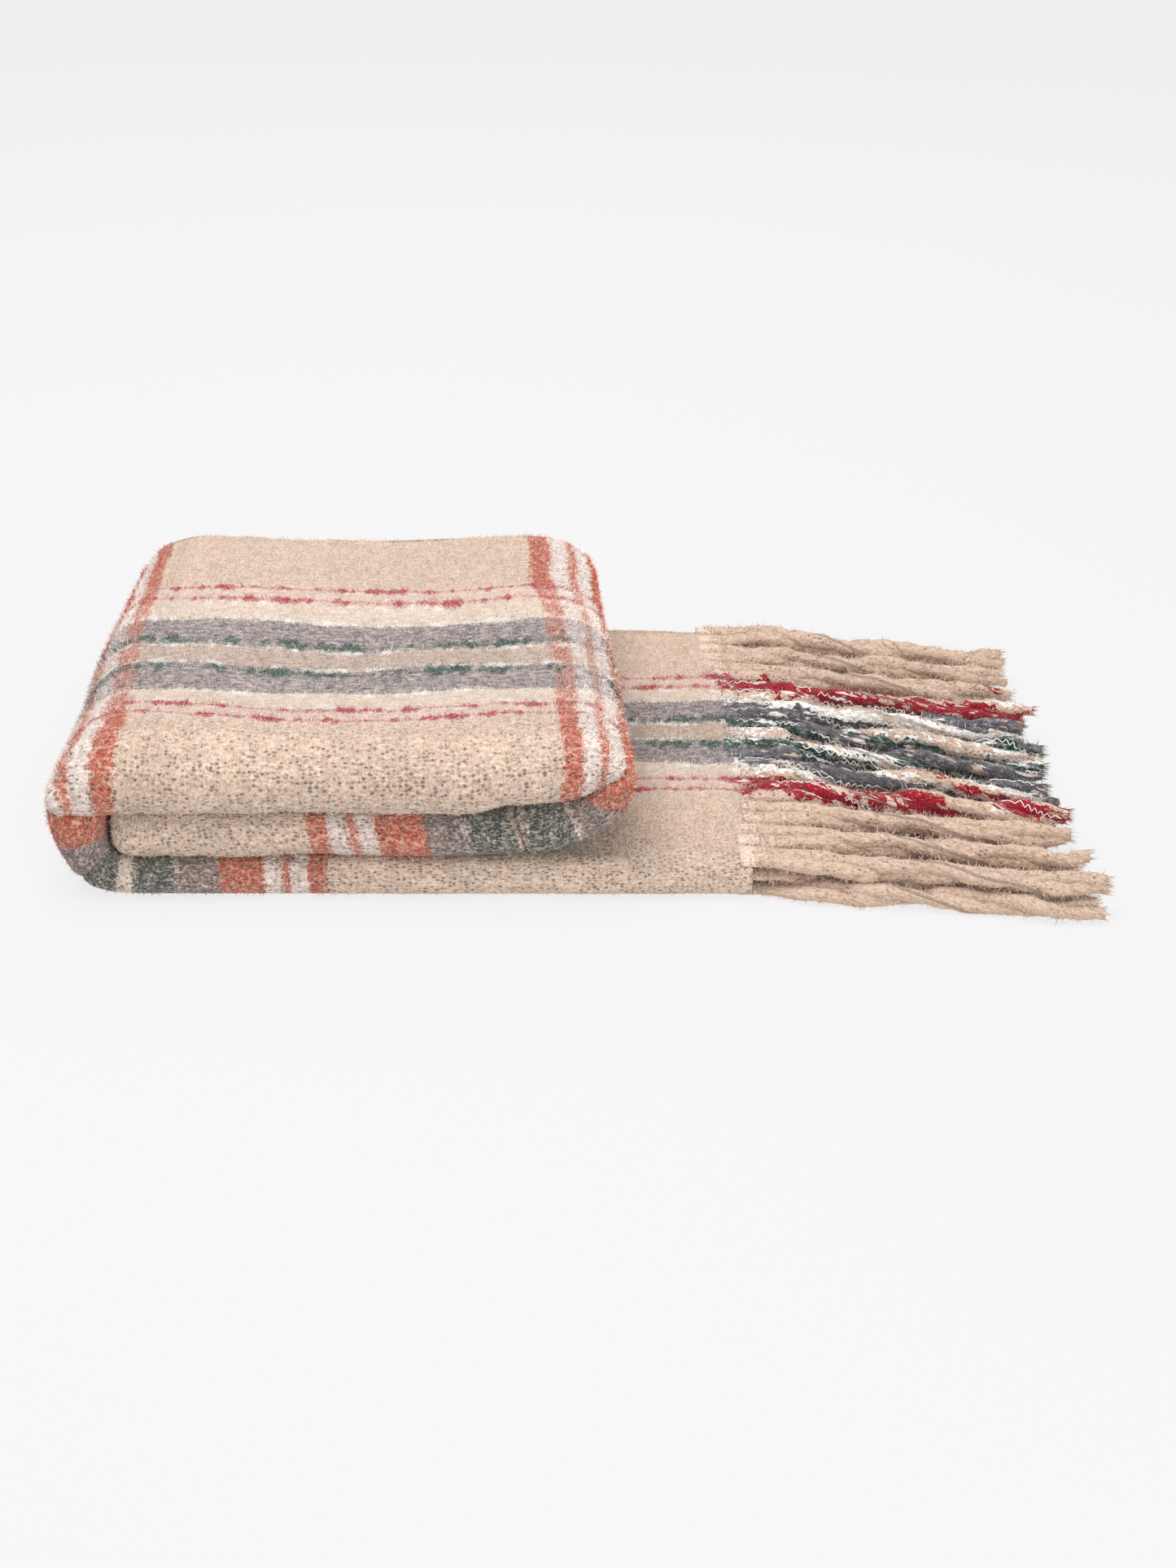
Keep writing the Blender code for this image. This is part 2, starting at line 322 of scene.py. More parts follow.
    # open weave: rows of small gaps between yarns, hidden where the nap is thick, darkened as
    # painted shade inside them
    knit = t.cells(t.vec(t.mul(u, 0.70), t.mul(v, 1.30)), 350.0, 0.62)
    shaded_gap = t.ramp(knit, 0.12, 0.40, 1.0, 0.0)
    shaded_gap = t.mul(shaded_gap, t.ramp(t.noise(uv, 190.0, 3.0, 0.65), 0.35, 0.52))
    shaded_gap = t.mul(shaded_gap, t.add(t.mul(open_weave, 0.92), 0.07))
    col = t.mix(shaded_gap, col, t.tint(col, (0.42, 0.30, 0.23, 1.0)))
    # painted highlight: the yarn between the gaps is made lighter, most where the weave is open
    ridge_highlight = t.ramp(knit, 0.40, 0.75, 1.0, t.add(1.0, t.mul(open_weave, 0.16)))
    col = t.tint(col, ridge_highlight)
    # unevenness of the brushing
    cloud = t.ramp(t.noise(uv, 17.0, 4.0, 0.65), 0.32, 0.68, 0.95, 1.04)
    patch = t.ramp(t.noise(uv, 75.0, 3.0, 0.6), 0.34, 0.66, 0.93, 1.05)
    streak = t.ramp(stretched(0.35, 1.0, 7.0, 330.0, 4.0, 0.8), 0.36, 0.64, 0.82, 1.13)
    pepper = t.ramp(stretched(1.0, 1.0, 23.0, 640.0, 2.0, 0.8), 0.38, 0.60, 0.84, 1.09)
    lum = t.mul(t.mul(cloud, patch), t.mul(streak, pepper))
    t.put(t.bsdf.inputs["Base Color"], t.tint(col, lum))
    # relief: yarn rows, loops and fluff
    fluff = t.noise(uv, 560.0, 4.0, 0.8)
    tuft = t.noise(uv, 170.0, 3.0, 0.65)
    height = t.add(t.mul(fluff, 0.9), t.mul(tuft, 1.1))
    height = t.add(height, t.mul(knit, t.add(0.2, t.mul(open_weave, 0.9))))
    height = t.sub(height, t.mul(shaded_gap, 1.2))
    t.bump(height, 0.0022, 1.0)
    cloth_finish(t.bsdf)
    t.put(t.bsdf.inputs["Roughness"], t.ramp(fluff, 0.3, 0.7, 0.86, 1.0))
    return mat


def fringe_material():
    mat = bpy.data.materials.new("twisted_yarn")
    t = Tree(mat)
    r, a = t.uv("yarn")             # along the strand and round it, in metres
    v = t.uv("flat")[1]
    lane = t.mul(t.math("FLOOR", t.mul(v, STRANDS_PER_M)), 3.7)
    drift = t.sub(t.noise(t.vec(r, t.mul(a, 1.5), lane), 60.0, 3.0, 0.6), 0.5)
    dv = t.nearest(t.add(v, t.mul(drift, 0.050)), V_GROUPS)
    deep = t.stripes(dv, FRINGE)[0]
    spun = t.noise(t.vec(t.mul(r, 0.5), a, 12.0), 300.0, 3.0, 0.7)
    dark_on = t.mul(t.ramp(dv, 0.007, 0.009), t.ramp(dv, 0.054, 0.056, 1.0, 0.0))
    deep = t.mix(t.mul(t.ramp(spun, 0.50, 0.62, 0.0, 0.75), dark_on), deep, GREY)
    deep = t.mix(t.ramp(spun, 0.38, 0.47, 0.45, 0.0), deep, t.tint(deep, (0.5, 0.42, 0.40, 1.0)))
    cloth_col, cloth_on = t.stripes(dv, WARP)
    cloth_col = t.mix(cloth_on, SAND, cloth_col)
    # the fringe's deeper colours begin a little way out from the weave
    far = t.ramp(t.add(r, t.mul(t.noise(t.vec(r, a), 260.0, 2.0, 0.6), 0.03)), 0.010, 0.034)
    col = t.mix(far, cloth_col, deep)
    # neighbouring yarns show through the twist
    stray = t.noise(t.vec(t.mul(r, 0.5), t.mul(a, 2.0), lane), 110.0, 2.0, 0.6)
    stray = t.mul(t.ramp(stray, 0.56, 0.62), t.ramp(dv, 0.100, 0.108, 0.85, 0.0))
    along = t.noise(t.vec(t.mul(r, 0.25), a), 90.0, 1.0, 0.5)
    col = t.mix(stray, col, t.mix(t.ramp(along, 0.45, 0.55), SAND_F, WHITE))
    fibre = t.noise(t.vec(t.mul(r, 0.30), a, 2.0), 900.0, 4.0, 0.75)
    marl = t.ramp(t.noise(t.vec(r, a, 8.0), 650.0, 2.0, 0.75), 0.56, 0.66, 0.0, 0.55)
    col = t.mix(marl, col, t.mix(0.35, col, CREAM, "SCREEN"))
    col = t.tint(col, t.ramp(fibre, 0.34, 0.66, 0.74, 1.16))
    # chained loops, with painted shade in the small gaps between them
    loop = t.cells(t.vec(t.add(r, t.mul(a, 0.55)), t.mul(a, 1.5)), 280.0)
    shaded_gap = t.mul(t.ramp(loop, 0.12, 0.32, 1.0, 0.0),
                t.ramp(t.noise(t.vec(r, a), 90.0, 2.0, 0.6), 0.48, 0.62))
    col = t.mix(t.mul(shaded_gap, 0.60), col, t.tint(col, (0.34, 0.25, 0.19, 1.0)))
    t.put(t.bsdf.inputs["Base Color"], col)
    height = t.add(t.mul(fibre, 0.9), t.mul(loop, 0.9))
    height = t.add(height, t.mul(t.noise(t.vec(r, a), 160.0, 3.0, 0.6), 1.1))
    height = t.sub(height, t.mul(shaded_gap, 1.2))
    t.bump(height, 0.0016, 0.9)
    cloth_finish(t.bsdf, 0.25)
    return mat


def plain_yarn(name, colour):
    mat = bpy.data.materials.new(name)
    t = Tree(mat)
    t.bsdf.inputs["Base Color"].default_value = colour
    cloth_finish(t.bsdf, 0.4)
    return mat


# Loose fibres have one plain colour each, by class.
CLASSES = {"sand": SAND, "sand_dark": SAND_DARK, "cream": CREAM, "white": WHITE, "grey": GREY,
           "grey_dark": GREY_DARK, "green": GREEN, "green_deep": GREEN_DEEP, "red": RED,
           "crimson": CRIMSON, "pink": PINK, "orange": ORANGE, "rust": RUST,
           "heather": HEATHER_PALE}
CLASS_NAMES = list(CLASSES)
NAP = [plain_yarn("nap_" + k, c) for k, c in CLASSES.items()]
NEAREST = {TAN: "sand_dark", SAND_F: "sand_dark", GREY_X: "grey", GREEN_X: "green",
           WHITE_X: "white"}
# Yarns spun from several colours: the class of a fibre by a draw from 0 to 1.
MIXES = {TAN: ((.45, "heather"), (.78, "sand_dark"), (1, "grey")),
         GREY: ((.30, "heather"), (.74, "grey"), (1, "grey_dark")),
         ORANGE: ((.74, "orange"), (.86, "rust"), (1, "sand")),
         GREY_X: ((.40, "grey_dark"), (.78, "grey"), (1, "heather")),
         SAND: ((.50, "sand"), (.80, "cream"), (1, "sand_dark"))}


def class_index(colour):
    name = next((k for k, c in CLASSES.items() if c == colour), None)
    return CLASS_NAMES.index(name or NEAREST[colour])


def mixed(colour, draw):
    return CLASS_NAMES.index(next(name for top, name in MIXES[colour] if draw < top))


def stripe_at(d, table):
    return next(((colour, on) for end, colour, on in table if d < end), (SAND, 0.0))


def yarn_class(u, v):
    """The colour class of a loose fibre at flat position (u, v) on the woven cloth."""
    off_v = random.gauss(0, 0.0015) + waves(DRIFT_V, 0.0, u, v, 1.0)
    off_u = random.gauss(0, 0.0016) + waves(DRIFT_U, 0.0, u, v, 1.0)
    dv = min(abs(v + off_v - g) for g in V_GROUPS)
    du = min(abs(u + off_u - g) for g in U_GROUPS)
    weft, weft_on = stripe_at(du, WEFT)
    draw = random.random()
    along = u + random.gauss(0, 0.0022)
    for centre, thin, thick, seed, colour, most in SLUBS:
        swell = float(smooth(SLUB_LOW, SLUB_HIGH, waves(SWELL, 0.5, along, v, seed)))
        share = most * (0.90 - 0.25 * (weft_on > 0))
        if abs(dv - centre) < thin + (thick - thin) * swell and random.random() < share:
            return class_index(colour)
    warp, warp_on = stripe_at(dv, WARP_GROUND)
    if warp_on > 0 and random.random() < warp_on * (1 - 0.5 * weft_on):
        return mixed(warp, draw) if warp in MIXES else class_index(warp)
    if weft_on > 0 and random.random() < 0.85:
        if weft in MIXES:
            return mixed(weft, draw)
        return class_index(weft) if draw < 0.82 else CLASS_NAMES.index("heather")
    return mixed(SAND, draw)


# -------- mesh helpers
def add_object(name, verts, faces, mats, smooth_faces=True):
    me = bpy.data.meshes.new(name)
    me.from_pydata(verts, [], faces)
    for m in mats:
        me.materials.append(m)
    if smooth_faces:
        me.polygons.foreach_set("use_smooth", np.ones(len(me.polygons), bool))
    ob = bpy.data.objects.new(name, me)
    scene.collection.objects.link(ob)
    return ob


def set_uv(me, name, per_vertex):
    layer = me.uv_layers.new(name=name)
    idx = np.empty(len(me.loops), int)
    me.loops.foreach_get("vertex_index", idx)
    layer.uv.foreach_set("vector", np.asarray(per_vertex, np.float32)[idx].ravel())


def grid_normals(P):
    n = np.cross(np.gradient(P, axis=0), np.gradient(P, axis=1))
    return n / np.maximum(np.linalg.norm(n, axis=2, keepdims=True), 1e-12)


def pchip(x, y, q):
    """Shape-preserving cubic through the keys, so that no bend overshoots."""
    x, y = np.asarray(x, float), np.asarray(y, float)
    h, d = np.diff(x), np.diff(y) / np.diff(x)
    m = np.zeros_like(y)
    m[0], m[-1] = d[0], d[-1]
    for i in range(1, len(x) - 1):
        if d[i - 1] * d[i] > 0:
            w1, w2 = 2 * h[i] + h[i - 1], h[i] + 2 * h[i - 1]
            m[i] = (w1 + w2) / (w1 / d[i - 1] + w2 / d[i])
    k = np.clip(np.searchsorted(x, q, side="right") - 1, 0, len(x) - 2)
    t = (q - x[k]) / h[k]
    a, b = y[k], y[k + 1]
    return (a * (1 + 2 * t) * (1 - t) ** 2 + m[k] * h[k] * t * (1 - t) ** 2
            + b * t * t * (3 - 2 * t) - m[k + 1] * h[k] * t * t * (1 - t))


def wobble(p, scale, seed):
    return noise.noise(Vector((p[0] / scale + seed, p[1] / scale - seed, p[2] / scale + 2 * seed)))


# -------- the folded cloth
# Cross-sections along the cloth, in millimetres. u is the distance from the fringe edge. O is
# the outer ply, F the inner ply at the front fold and I the inner ply further in, each (x, z).
# front is the foremost y, top and bot how deep the fold's curve is on the outer and inner side,
# dip how far the front is pulled in, back the y where the back fold starts.
KEYS = (
    #    u,    Ox,    Oz,    Fx,   Fz,    Ix,   Iz,  front,  top,  bot, dip, back
    (     0,   505,   3.4,   505, 26.2,   505, 26.2, -203.5,   13,   12,  0, 202),
    (   150,   355,   3.4,   355, 26.2,   355, 26.2, -204.5,   15,   12,  0, 202),
    (   350,   155,   3.4,   155, 26.2,   155, 26.2,   -204,   15,   12,  0, 202),
    (   440,    65,   3.4,    65, 26.2,    65, 26.2, -203.5,   16,   11,  0, 202),
    ( 451.5,  53.5,   3.6,  55.5, 26.6,  55.5, 26.6, -203.5,   17, 10.5,  0, 202),
    (   460,    45,   4.4,  49.5,   28,  49.5,   28, -203.5,   18,   10,  0, 201.8),
    (   475,  33.5,     7,  44.5, 30.6,  44.5, 30.6, -203.5,   19,   10,  0, 201.5),
    (   485,    26,  10.5,    42,   33,    42,   33,   -203,   20,   10,  2, 201.2),
    ( 490.5,    22,    14,  40.8,   35,  40.8,   35,   -203,   20,   10,  7, 201),
    (   496,    18,    18,  39.8,   37,  39.8,   37,   -203,   20,   10,  1, 200.8),
    (   506,  11.8,  26.2,  38.8, 41.5,  38.8, 41.5, -203.5,   22,   10,  0, 200.5),
    ( 521.5,     6,    41,  38.4,   49,  38.4,   49, -204.5,   23,   10,  0, 200),
    (   537,     3,  54.5,  38.3,   57,  38.3,   57,   -205,   23,   10,  0, 199),
    (   549,   1.8,    65,  38.3, 63.2,  38.3, 63.2, -204.5,   22,   10,  1, 198),
    ( 553.5,     2,    69,    38, 66.8,  38.5, 66.5,   -204,   20,   10, 11, 197.5),
    ( 555.5,   2.3,  71.5,    15, 69.5,  38.5,   68, -204.5,   17,    7,  8, 197),
    (   558,   4.2,    79,     8, 70.6,  38.5, 70.5, -205.5,   15,    6,  1, 197),
    ( 564.5,    12,    94,  14.5, 70.8,  39.6, 78.5, -206.5,   20,    7,  0, 196),
    (   571,    20, 102.5,    22, 70.7,    42,   85, -206.8,   25,    8,  0, 195),
    (   577,    27,   108,  28.5, 70.6,  44.5, 89.3,   -207, 28.5,  8.5,  0, 194),
    (   583,  34.5, 111.8,  35.5, 70.5,    47,   92,   -207,   31,    9,  0, 193),
    (   590,  42.5,   114,    43, 70.5,    50, 94.2, -207.2,   33,    9,  0, 192),
    ( 596.5,  50.5, 115.3,  50.5, 70.5,    54, 95.3, -207.2,   34,    9,  0, 191.5),
    (   625,    77, 115.6,    77, 70.6,    77, 95.6, -207.2,   35,    9,  0, 191),
    (   750,   205, 110.8,   205, 70.6,   205,   91, -207.5,   35,    9,  0, 190),
    (   845, 300.5, 113.5, 300.5, 71.2, 300.5, 93.7, -207.8,   34,    9,  0, 190),
    (   870,   326, 114.8,   326, 77.5,   326,   95, -207.8,   33,    9,  0, 190),
    ( 905.5,   362, 115.6,   362, 80.8,   362, 95.6, -207.5,   32,    9,  0, 190.5),
    (   919, 376.5, 114.8, 376.5, 84.5,   370,   95, -207.2,   30,    9,  0, 191.5),
    (   931,   388, 111.8, 386.2,   90,   375, 93.5,   -207,   27,  8.5,  0, 192.5),
    ( 937.5, 393.8,   109,   391, 93.2, 377.8, 91.5, -206.8,   24,    8,  0, 193),
    (   945,   400,   105, 396.5, 95.8, 379.3, 89.2, -206.5,   20,    7,  0, 194),
    (   949, 402.8, 102.5, 398.5, 96.5,   380,   88, -205.5,   17,    6,  3, 194.5),
    (   952, 404.5, 100.5,   385,   90, 380.5,   87,   -205,   16,    9,  9, 195),
    (   956, 406.5,  97.5,   384, 86.2,   381, 85.5,   -206,   19,  9.5,  1, 195.5),
    (   965,   409,    89, 382.8, 83.2, 381.2,   83, -206.5,   21,   10,  0, 196.5),
    (   973, 408.5,  80.5, 381.2, 80.5,   380, 80.5,   -206,   21,   10,  0, 197.5),
    (   981, 404.5,    71, 378.8,   78, 377.8,   77,   -205,   20,   10,  0, 198),
    (   991,   397,  61.5, 374.5, 75.5, 373.5, 72.5,   -204,   18,   10,  0, 198.5),
    (1001.5,   387,  53.5,   369, 74.2,   368,   69, -203.5,   16,   10,  0, 199),
    (1012.5, 375.5,  46.5,   362, 73.5,   361,   66, -203.5,   15,   10,  0, 199.5),
    (1028.5, 359.5,    40,   353, 72.5,   353, 63.5,   -204,   14,   10,  0, 199.8),
    (  1044,   344,  35.7,   337,   69,   343, 61.8, -203.8,   13,   11,  2, 200),
    (1050.5, 337.8,  34.8, 329.5, 58.5,   340, 60.6,   -201,   13,   12, 13, 200),
    (  1058,   334,  34.3,   322,   61,   333, 60.4, -202.5,   13,   11,  2, 200),
    (1088.5,   302,  33.8,   293,   64,   299,   60, -202.5,   13,   11,  0, 200),
    (1119.5,   274,  33.8,   265, 63.8,   270,   60,   -202,   13,   11,  0, 200),
    (  1151,   240,  33.8,   231, 63.8,   236,   60, -201.5,   13,   11,  0, 200),
    (1195.5,   191,  33.8,   183, 63.8,   187,   60, -201.5,   13,   11,  0, 200),
    (1307.5,    80,    33,    78, 63.2,    78,   60, -201.5,   12,   11,  0, 200),
    (1323.5,    64,  32.5,    68, 62.8,    69,   60, -201.5,   12,   10,  0, 199.5),
    (  1333,    54,    34,    63, 62.6,    66, 61.2, -201.2,   12,    9,  0, 199),
    (  1341,    49,  39.5,    60,   63,  64.5, 62.5,   -201,   12,    8,  0, 198.5),
    (  1350,  47.6,    49,    58,   64,    64,   64, -200.5,   12,    8,  0, 198),
    (  1360,  47.6,    61,    59, 65.5,    64, 65.5,   -197,   11,    8,  0, 197),
    (  1370,    52,    73,    65, 66.8,    65, 66.8,   -186,   10,    8,  0, 195.5),
    (  1380,    59,  80.5,    68,   68,    68,   68,   -178,    9,    8,  0, 194),
    (  1390,    69,  83.6,  72.5, 68.4,  72.5, 68.4,   -174,    8,    8,  0, 193),
    (1398.5,    78,  83.8,    78, 68.4,    78, 68.4, -173.5,    8,    8,  0, 193),
    (  1520,   195,  83.8,   195, 68.4,   195, 68.4, -173.5,    8,    8,  0, 193),
)
N_A, N_BACK, N_OUT, N_FRONT, N_IN = 9, 6, 62, 26, 34     # points on each part of a row
SQUARE = 2 / 2.5                                         # exponent of the front fold's curve


def stations():
    """Where to cut the cloth along its length: closer together round the bends."""
    spans = ((0.0, 0.44, 0.0058), (0.44, 0.60, 0.0026), (0.60, 0.90, 0.0060), (0.90, 1.06, 0.0028),
             (1.06, 1.31, 0.0068), (1.31, 1.40, 0.0035), (1.40, 1.52, 0.02))
    out = []
    for a, b, step in spans:
        n = max(2, int(round((b - a) / step)))
        out += [a + (b - a) * i / n for i in range(n)]
    return np.array(out + [1.52])


def top_v(y):
    """Flat position across the cloth of a point at depth y on the outer ply."""
    ys = (-0.40, -0.146, -0.130, -0.105, -0.060, -0.030, 0.0175, 0.060, 0.083, 0.40)
    d = (0.3525, 0.0985, 0.0812, 0.0545, 0.0145, -0.0145, -0.0545, -0.0812, -0.0985, -0.4155)
    return V_GROUPS[1] + np.interp(y, ys, d)


def cloth_points():
    """Points of the folded cloth's middle surface, their flat positions and how open the
    weave is there: one row for each station, from the folded-in edge to the inner ply's."""
    U = stations()
    K = np.array(KEYS) / 1000
    Q = [pchip(K[:, 0], K[:, i], U) for i in range(1, K.shape[1])]
    rows, flats, opens = [], [], []
    for i, u in enumerate(U):
        ox, oz, fx, fz, ix, iz, front, top, bot, dip, back = (q[i] for q in Q)
        ax, az = (ox + ix) / 2, (oz + iz) / 2
        pts, flat, op = [], [], []

        def put(x, y, z, v, is_open):
            pts.append((x, y, z))
            flat.append((u, v))
            op.append(is_open)

        r = sqrt((ox - ax) ** 2 + (oz - az) ** 2) / 2
        start = front + max(top, bot) + 0.012
        for k in range(N_A):                                  # ply folded inside
            f = k / (N_A - 1)
            put(ax, start + (back - start) * f, az, 0.02 + (V_BACK - 0.03) * f, 0.0)
        for k in range(1, N_BACK):                            # back fold
            a = pi * k / N_BACK
            m = (1 - cos(a)) / 2
            put(ax + (ox - ax) * m, back + r * sin(a), az + (oz - az) * m,
                V_BACK - 0.01 + 0.01 * m, 0.4)
        y_roll = front + top
        for k in range(N_OUT):                                # outer ply
            y = back + (y_roll - back) * k / (N_OUT - 1)
            put(ox, y, oz, top_v(y), 0.0)
        v_roll, v_in = top_v(y_roll), V_GROUPS[2] + SLIPS[0] + (front + bot)
        for k in range(1, N_FRONT):                           # front fold, a squarish curve
            f = k / N_FRONT
            c, s = cos(pi * f), sin(pi * f)
            w = (1 - (abs(c) ** SQUARE) * (1 if c > 0 else -1)) / 2
            deep = (top if c > 0 else bot) * (1 - abs(s) ** SQUARE)
            put(ox + (fx - ox) * w, front + deep + dip * s ** 0.8, oz + (fz - oz) * w,
                v_roll + (v_in - v_roll) * f, 1.0)
        for k in range(N_IN):                                 # inner ply
            y = front + bot + (back - 0.006 - front - bot) * k / (N_IN - 1)
            w = float(smooth(front + bot, front + bot + 0.034, y))
            put(fx + (ix - fx) * w, y, fz + (iz - fz) * w, V_GROUPS[2] + y + SLIPS[0], 0.0)
        rows.append(pts)
        flats.append(flat)
        opens.append(op)
    return U, np.array(rows), np.array(flats), np.array(opens)


U, P, FLATS, OPEN = cloth_points()
S_OUT = N_A + N_BACK - 1            # first points of the outer ply, front fold and inner ply
S_FRONT = S_OUT + N_OUT
S_IN = S_FRONT + N_FRONT - 1

# the free edge is cut slightly askew
X, Y, Z = (P[:, :, i] for i in range(3))        # views: a change to one changes P
X += FRINGE_SKEW * Y * np.clip(1 - U / 0.10, 0, 1)[:, None]
# the left bend is tighter towards the back, and its back corner is rounded
left = np.clip((0.075 - X) / 0.075, 0, 1) * (U < 0.62)[:, None]
X += left * np.interp(Y, (-0.20, -0.10, 0.0, 0.08, 0.14, 0.20),
                      (0.0, 0.010, 0.0135, 0.0225, 0.027, 0.028))
Y -= 0.014 * left ** 1.5 * smooth(0.10, 0.21, Y)
corner = np.clip((0.088 - X) / 0.062, 0, 1) ** 1.5 * ((U > 0.45) & (U < 0.66))[:, None]
Y -= 0.016 * corner * smooth(0.09, 0.20, Y)
Z -= 0.012 * corner * smooth(0.08, 0.19, Y) * smooth(0.05, 0.11, Z)
right = np.clip((X - 0.352) / 0.062, 0, 1) * ((U > 0.90) & (U < 1.03))[:, None]
Y -= 0.012 * right ** 1.5 * smooth(0.12, 0.21, Y)
skew = np.exp(-((X - 0.355) / 0.03) ** 2) * ((U > 0.80) & (U < 0.95))[:, None]
X -= 0.007 * skew * smooth(-0.08, 0.20, Y)
# soft unevenness, least where the cloth lies on the floor or inside the stack
N0 = grid_normals(P)
amp = np.zeros(P.shape[:2])
amp[:, S_OUT:S_IN] = 1.0
amp[:, S_IN:] = 0.25 + 0.5 * (U < 0.10)[:, None]
amp[U < 0.455, S_OUT:S_FRONT] = 0.0
amp[U > 1.08, S_OUT:S_FRONT] = 0.15
amp[U > 1.31] *= 0.3
sink = smooth(0.0035, 0.012, Z)
UNEVEN = ((0.0024, 0.085, 1.3), (0.0015, 0.034, 5.1), (0.0009, 0.014, 9.7))   # size, scale, seed
for i in range(P.shape[0]):
    for j in range(S_OUT, P.shape[1]):
        d = sum(size * wobble(P[i, j], scale, seed) for size, scale, seed in UNEVEN)
        P[i, j] += N0[i, j] * d * amp[i, j] * sink[i, j]
N0 = grid_normals(P)
if N0[len(U) // 2, S_OUT + 20, 2] < 0:         # outwards: up, on top of the stack
    N0 = -N0
# the weave is most open on the front fold and towards it
OPEN = np.maximum(OPEN * 0.9, smooth(-0.10, -0.20, Y) * 0.80)
OPEN[:, :S_OUT] = 0.3


def cloth_object():
    n, m = P.shape[:2]
    verts = np.vstack([(P + N0 * CLOTH_T / 2 * side - CENTRE).reshape(-1, 3) for side in (1, -1)])
    verts[:, 2] = np.maximum(verts[:, 2], FLOOR_Z)
    k = n * m
    idx = np.arange(k).reshape(n, m)
    a, b, c, d = idx[:-1, :-1], idx[1:, :-1], idx[1:, 1:], idx[:-1, 1:]
    out = np.stack((a, d, c, b), -1).reshape(-1, 4)
    ins = np.stack((a, b, c, d), -1).reshape(-1, 4) + k
    rim = []
    for line, flip in ((idx[0], 0), (idx[-1], 1), (idx[:, 0], 1), (idx[:, -1], 0)):
        p, q = line[:-1], line[1:]
        rim.append(np.stack((q, p, p + k, q + k) if flip else (p, q, q + k, p + k), -1))
    faces = np.vstack([out, ins] + rim)
    ob = add_object("blanket_cloth", verts.tolist(), faces.tolist(), [woven_material()])
    set_uv(ob.data, "flat", np.vstack((FLATS.reshape(-1, 2),) * 2))
    att = ob.data.attributes.new("open", "FLOAT", "POINT")
    att.data.foreach_set("value", np.concatenate((OPEN.ravel(),) * 2).astype(np.float32))
    return ob


cloth = cloth_object()
bm = bmesh.new()
bm.from_mesh(cloth.data)
bmesh.ops.recalc_face_normals(bm, faces=bm.faces)
bm.to_mesh(cloth.data)
bm.free()
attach(cloth, "blanket")
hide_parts("woven_panel")

# -------- fringe
YARN = fringe_material()
THREAD = plain_yarn("core_thread", WHITE)
MATS = [YARN, THREAD] + NAP
YARN_SLOT, THREAD_SLOT, NAP_SLOT = 0, 1, 2
FRINGE_L = 0.24                      # nominal length of a tassel
ROOT_W, ROOT_H = 0.0088, 0.0029      # half width and height of a strand at the woven edge
TWIST_R = 0.0037                     # from the tassel's middle to a strand's, once twisted
YARN_R = 0.0046                      # turns an angle round a strand into metres
ROOT_NEAR = 7                        # points along a strand up to here are its root


class Parts:
    """Collects verts, faces, uvs and material slots of one piece."""

    def __init__(self):
        self.verts, self.faces, self.slots, self.flat, self.yarn = [], [], [], [], []
        self.n = 0

    def add(self, slots, verts, face_lists, flat=None, yarn=None):
        """slots is one material slot, or a list with one for each face."""
        for faces in face_lists:
            self.faces += (np.asarray(faces) + self.n).tolist()
        if not isinstance(slots, list):
            slots = [slots] * sum(map(len, face_lists))
        none = np.zeros((len(verts), 2))
        self.slots += slots
        self.verts.append(verts)
        self.flat.append(none if flat is None else flat)
        self.yarn.append(none if yarn is None else yarn)
        self.n += len(verts)

    def build(self, name, mats):
        verts = np.vstack(self.verts) - CENTRE
        verts[:, 2] = np.maximum(verts[:, 2], FLOOR_Z)
        ob = add_object(name, verts.tolist(), self.faces, mats)
        ob.data.polygons.foreach_set("material_index", np.array(self.slots, np.int32))
        set_uv(ob.data, "flat", np.vstack(self.flat))
        set_uv(ob.data, "yarn", np.vstack(self.yarn))
        return ob


def frames(path):
    t = np.gradient(path, axis=0)
    t /= np.linalg.norm(t, axis=1, keepdims=True)
    up = np.array((0.0, 0.0, 1.0))
    side = np.cross(up, t)
    side /= np.linalg.norm(side, axis=1, keepdims=True)
    return t, side, np.cross(t, side)


def tube(path, half_w, half_h, spin, sides, v0, v1, dist):
    """A closed strand swept along path. Its yarns run from v0 to v1 across the cloth and
    wrap round it. Gives verts, quads and end triangles, and two uvs for each vertex."""
    t, side, up = frames(path)
    n = len(path)
    a = 2 * pi * np.arange(sides) / sides
    ca, sa = np.cos(a)[None, :], np.sin(a)[None, :]
    cs, sn = np.cos(spin)[:, None], np.sin(spin)[:, None]
    y, z = ca * half_w[:, None], sa * half_h[:, None]
    y, z = y * cs - z * sn, y * sn + z * cs
    verts = path[:, None, :] + side[:, None, :] * y[..., None] + up[:, None, :] * z[..., None]
    v = v0 + (v1 - v0) * (0.5 + 0.5 * np.cos(a))
    flat = np.stack(np.broadcast_arrays(-dist[:, None], v[None, :]), -1)
    yarn = np.stack(np.broadcast_arrays(dist[:, None], (a * YARN_R)[None, :] + 10 * v0), -1)
    idx = np.arange(n * sides).reshape(n, sides)
    nxt = np.roll(idx, -1, 1)
    quads = np.stack((idx[:-1], nxt[:-1], nxt[1:], idx[1:]), -1).reshape(-1, 4)
    # blunt ends, each a fan round one more vertex
    fans = np.vstack((np.stack((np.full(sides, n * sides), nxt[0], idx[0]), -1),
                      np.stack((np.full(sides, n * sides + 1), idx[-1], nxt[-1]), -1)))
    verts = np.vstack((verts.reshape(-1, 3), path[0] - t[0] * 0.0006, path[-1] + t[-1] * 0.0012))
    mid = (v0 + v1) / 2
    flat = np.vstack((flat.reshape(-1, 2), (-dist[0], mid), (-dist[-1], mid)))
    yarn = np.vstack((yarn.reshape(-1, 2), (dist[0], 10 * v0), (dist[-1], 10 * v0)))
    return verts, (quads, fans), flat, yarn


